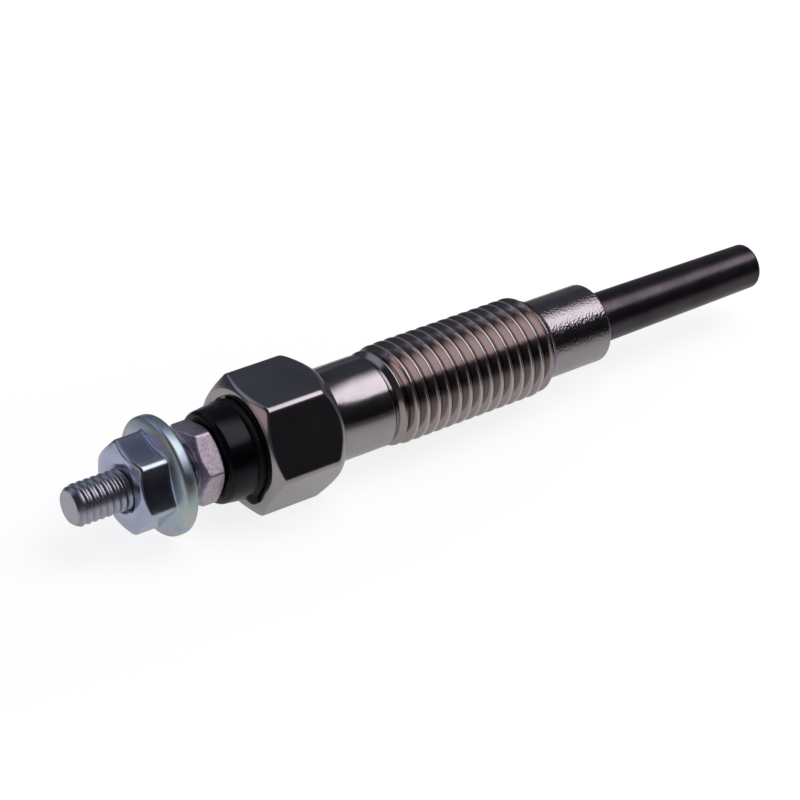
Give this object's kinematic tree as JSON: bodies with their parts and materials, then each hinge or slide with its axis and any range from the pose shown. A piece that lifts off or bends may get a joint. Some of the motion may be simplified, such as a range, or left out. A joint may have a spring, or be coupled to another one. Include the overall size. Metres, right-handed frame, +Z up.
{
  "type": "diesel glow plug",
  "caption": "Diesel glow plug: hexagon body with fine thread and nose, dark sheathed heater rod, black insulating bush and a threaded terminal stud with nuts.",
  "frame": {"origin": "on the surface that the plug lies on, under the middle of its length and of its width", "axes": "+X along the plug's axis from the terminal stud to the heater tip, +Z up, square to the hexagon flat that it lies on"},
  "size_m": [0.0808, 0.0136, 0.012],
  "materials": {
    "nickel_plate": "bright nickel plate",
    "zinc_plate": "bright zinc plate",
    "zinc_chromate": "zinc plate with an iridescent passivate",
    "zinc_nut": "slightly rough zinc plate",
    "black_bush": "moulded, half gloss",
    "black_rubber": "matt",
    "oxidised_sheath": "dark oxidised heat-resisting alloy",
    "magnesia": "packed powder",
    "coil_wire": "drawn wire"
  },
  "bodies": {
    "root": {"body_shell": "nickel_plate", "centre_rod": "zinc_plate", "terminal_flange_nut": "zinc_chromate", "clamp_nut": "zinc_nut", "insulator_bush": "black_bush", "o_ring_seal": "black_rubber", "heater_sheath": "oxidised_sheath", "tube_seal": "black_rubber", "magnesia_fill": "magnesia", "regulating_coil": "coil_wire", "heating_coil": "coil_wire"}
  },
  "joints": []
}
